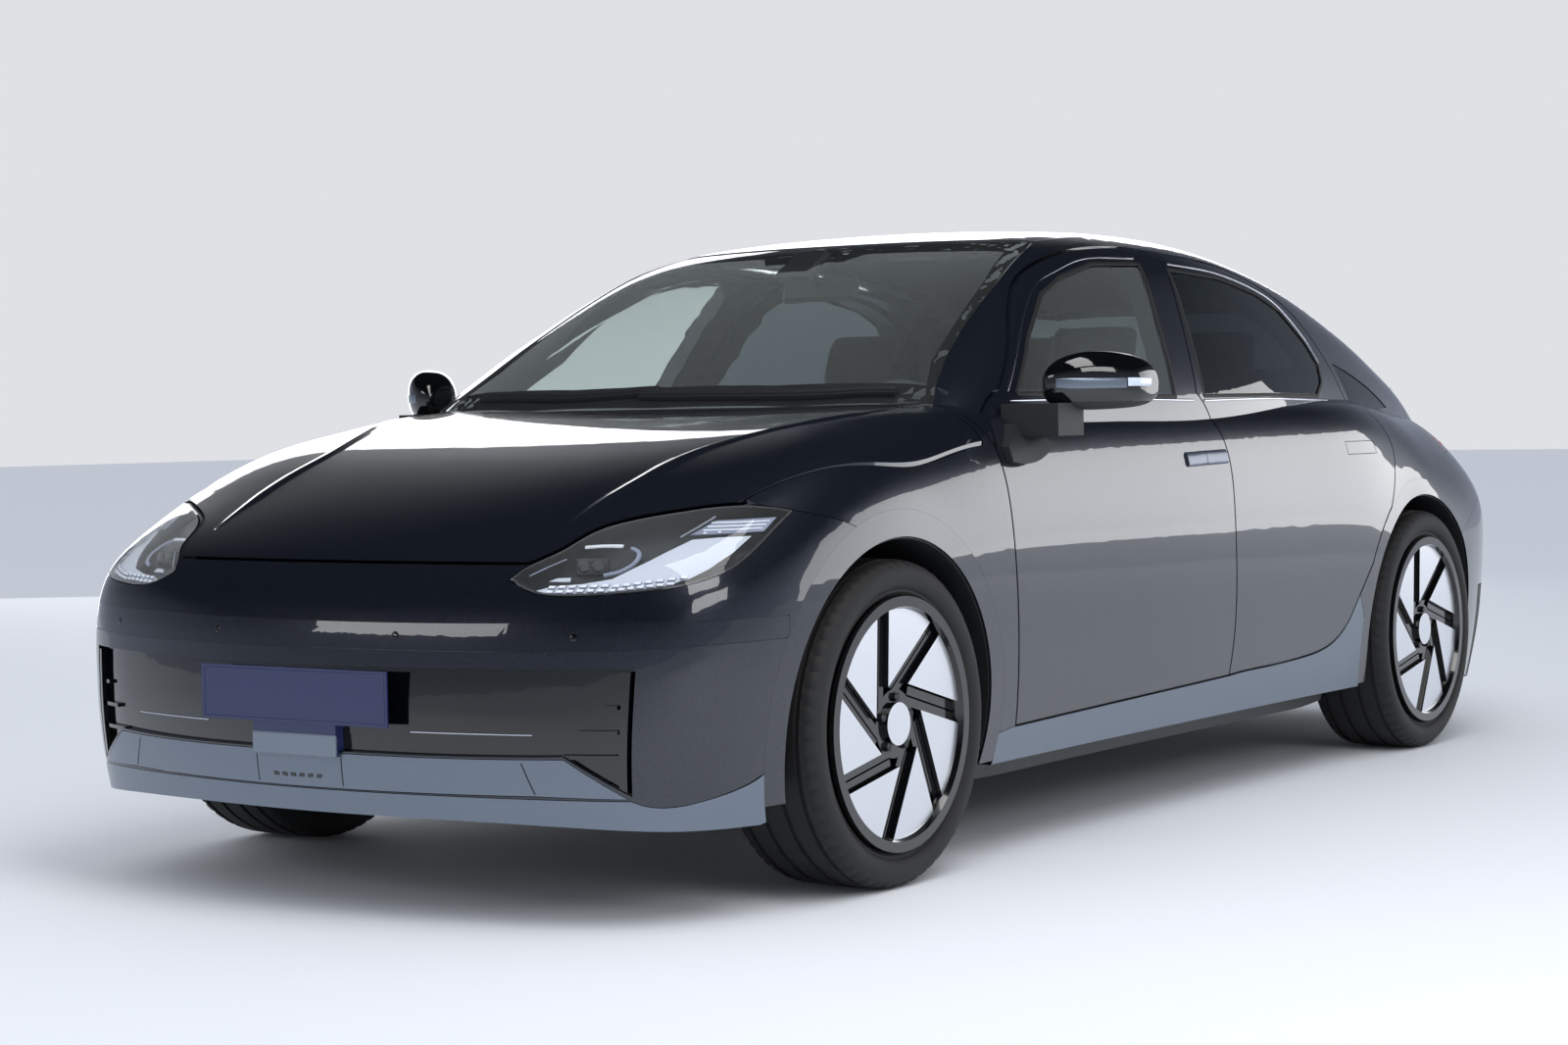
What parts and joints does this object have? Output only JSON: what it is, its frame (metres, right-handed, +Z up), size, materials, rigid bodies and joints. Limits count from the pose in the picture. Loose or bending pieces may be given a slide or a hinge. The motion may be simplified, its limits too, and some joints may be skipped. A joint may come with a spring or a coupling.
{
  "type": "sedan car",
  "caption": "Streamlined four-door electric sedan with hinged doors, hood and boot lid, steered front wheels and a full cabin.",
  "frame": {"origin": "on the road, at the middle of the car's length and width", "axes": "+X to the car's left side, +Y towards the tail, +Z up"},
  "size_m": [2.2184, 4.8506, 1.5056],
  "materials": {
    "paint": "deep blue-black metallic clear-coated paint",
    "glass": "tinted safety glass",
    "lens": "clear moulded lamp cover",
    "lamp_body": "grey moulded lamp housing",
    "tail_red": "red moulded lamp bar",
    "cladding": "grained dark moulded plastic",
    "gloss_black": "gloss black moulded plastic",
    "satin_trim": "satin grey painted plastic",
    "plate": "blank pressed plate",
    "tyre": "black tyre rubber",
    "rim": "cast alloy with machined blade faces",
    "steel": "coated chassis metal",
    "trim_plastic": "soft-touch interior plastic",
    "seat_cloth": "woven and coated seat covers"
  },
  "bodies": {
    "root": {"body_side_left": "paint", "body_side_right": "paint", "roof_panel": "paint", "front_fenders": "paint", "front_bumper": "paint", "rear_bumper": "paint", "windshield": "glass", "rear_window": "glass", "quarter_glass": "glass", "sensor_band": "gloss_black", "lower_grille": "gloss_black", "front_apron": "satin_trim", "front_lip": "cladding", "number_plate": "plate", "headlamp_lenses": "lens", "headlamps": "lamp_body", "rear_apron": "cladding", "tail_lamps": "tail_red", "side_skirts": "satin_trim", "arch_rings": "cladding", "wheel_liners": "cladding", "cowl": "cladding", "front_tub": "cladding", "boot_tub": "cladding", "underbody": "steel", "dashboard": "trim_plastic", "front_seats": "seat_cloth", "rear_seat": "seat_cloth", "front_suspension": "steel", "rear_suspension": "steel", "rear_knuckles": "steel"},
    "front_door_left_body": {"front_door_left": "paint", "front_glass_left": "glass", "mirror_left": "gloss_black"},
    "rear_door_left_body": {"rear_door_left": "paint", "rear_glass_left": "glass"},
    "steer_knuckle_left": {"front_knuckle_left": "steel"},
    "front_wheel_left": {"front_tyre_left": "tyre", "front_rim_left": "rim"},
    "rear_wheel_left": {"rear_tyre_left": "tyre", "rear_rim_left": "rim"},
    "front_door_right_body": {"front_door_right": "paint", "front_glass_right": "glass", "mirror_right": "gloss_black"},
    "rear_door_right_body": {"rear_door_right": "paint", "rear_glass_right": "glass"},
    "steer_knuckle_right": {"front_knuckle_right": "steel"},
    "front_wheel_right": {"front_tyre_right": "tyre", "front_rim_right": "rim"},
    "rear_wheel_right": {"rear_tyre_right": "tyre", "rear_rim_right": "rim"},
    "hood_body": {"hood": "paint"},
    "boot_body": {"boot_lid": "paint", "tail_lamp_lid": "tail_red"},
    "wheel_rim_body": {"steering_wheel": "trim_plastic"}
  },
  "joints": [
    {"name": "front_door_left_hinge", "type": "hinge", "parent": "root", "child": "front_door_left_body", "pos_m": [0.923, -1.062, 0.6], "axis": [0, 0, -1], "range_deg": [0, 68]},
    {"name": "rear_door_left_hinge", "type": "hinge", "parent": "root", "child": "rear_door_left_body", "pos_m": [0.912, 0.068, 0.6], "axis": [0, 0, -1], "range_deg": [0, 68]},
    {"name": "steer_left", "type": "hinge", "parent": "root", "child": "steer_knuckle_left", "pos_m": [0.76, -1.5425, 0.352], "axis": [0, 0, 1], "range_deg": [-33, 33]},
    {"name": "front_left_spin", "type": "hinge", "parent": "steer_knuckle_left", "child": "front_wheel_left", "pos_m": [0.812, -1.5425, 0.352], "axis": [1, 0, 0], "continuous": true},
    {"name": "rear_left_spin", "type": "hinge", "parent": "root", "child": "rear_wheel_left", "pos_m": [0.8165, 1.4075, 0.352], "axis": [1, 0, 0], "continuous": true},
    {"name": "front_door_right_hinge", "type": "hinge", "parent": "root", "child": "front_door_right_body", "pos_m": [-0.923, -1.062, 0.6], "axis": [0, 0, 1], "range_deg": [0, 68]},
    {"name": "rear_door_right_hinge", "type": "hinge", "parent": "root", "child": "rear_door_right_body", "pos_m": [-0.912, 0.068, 0.6], "axis": [0, 0, 1], "range_deg": [0, 68]},
    {"name": "steer_right", "type": "hinge", "parent": "root", "child": "steer_knuckle_right", "pos_m": [-0.76, -1.5425, 0.352], "axis": [0, 0, 1], "range_deg": [-33, 33]},
    {"name": "front_right_spin", "type": "hinge", "parent": "steer_knuckle_right", "child": "front_wheel_right", "pos_m": [-0.812, -1.5425, 0.352], "axis": [1, 0, 0], "continuous": true},
    {"name": "rear_right_spin", "type": "hinge", "parent": "root", "child": "rear_wheel_right", "pos_m": [-0.8165, 1.4075, 0.352], "axis": [1, 0, 0], "continuous": true},
    {"name": "hood_hinge", "type": "hinge", "parent": "root", "child": "hood_body", "pos_m": [0, -1.105, 1.035], "axis": [-1, 0, 0], "range_deg": [0, 50]},
    {"name": "boot_hinge", "type": "hinge", "parent": "root", "child": "boot_body", "pos_m": [0, 1.8, 1.13], "axis": [1, 0, 0], "range_deg": [0, 60]},
    {"name": "steering_wheel_turn", "type": "hinge", "parent": "root", "child": "wheel_rim_body", "pos_m": [0.37, -0.56, 0.915], "axis": [0, 0.9135, 0.4067], "range_deg": [-470, 470]}
  ],
  "couplings": [
    {"joint": "steer_right", "follows": "steer_left", "ratio": 1},
    {"joint": "steering_wheel_turn", "follows": "steer_left", "ratio": 14}
  ]
}
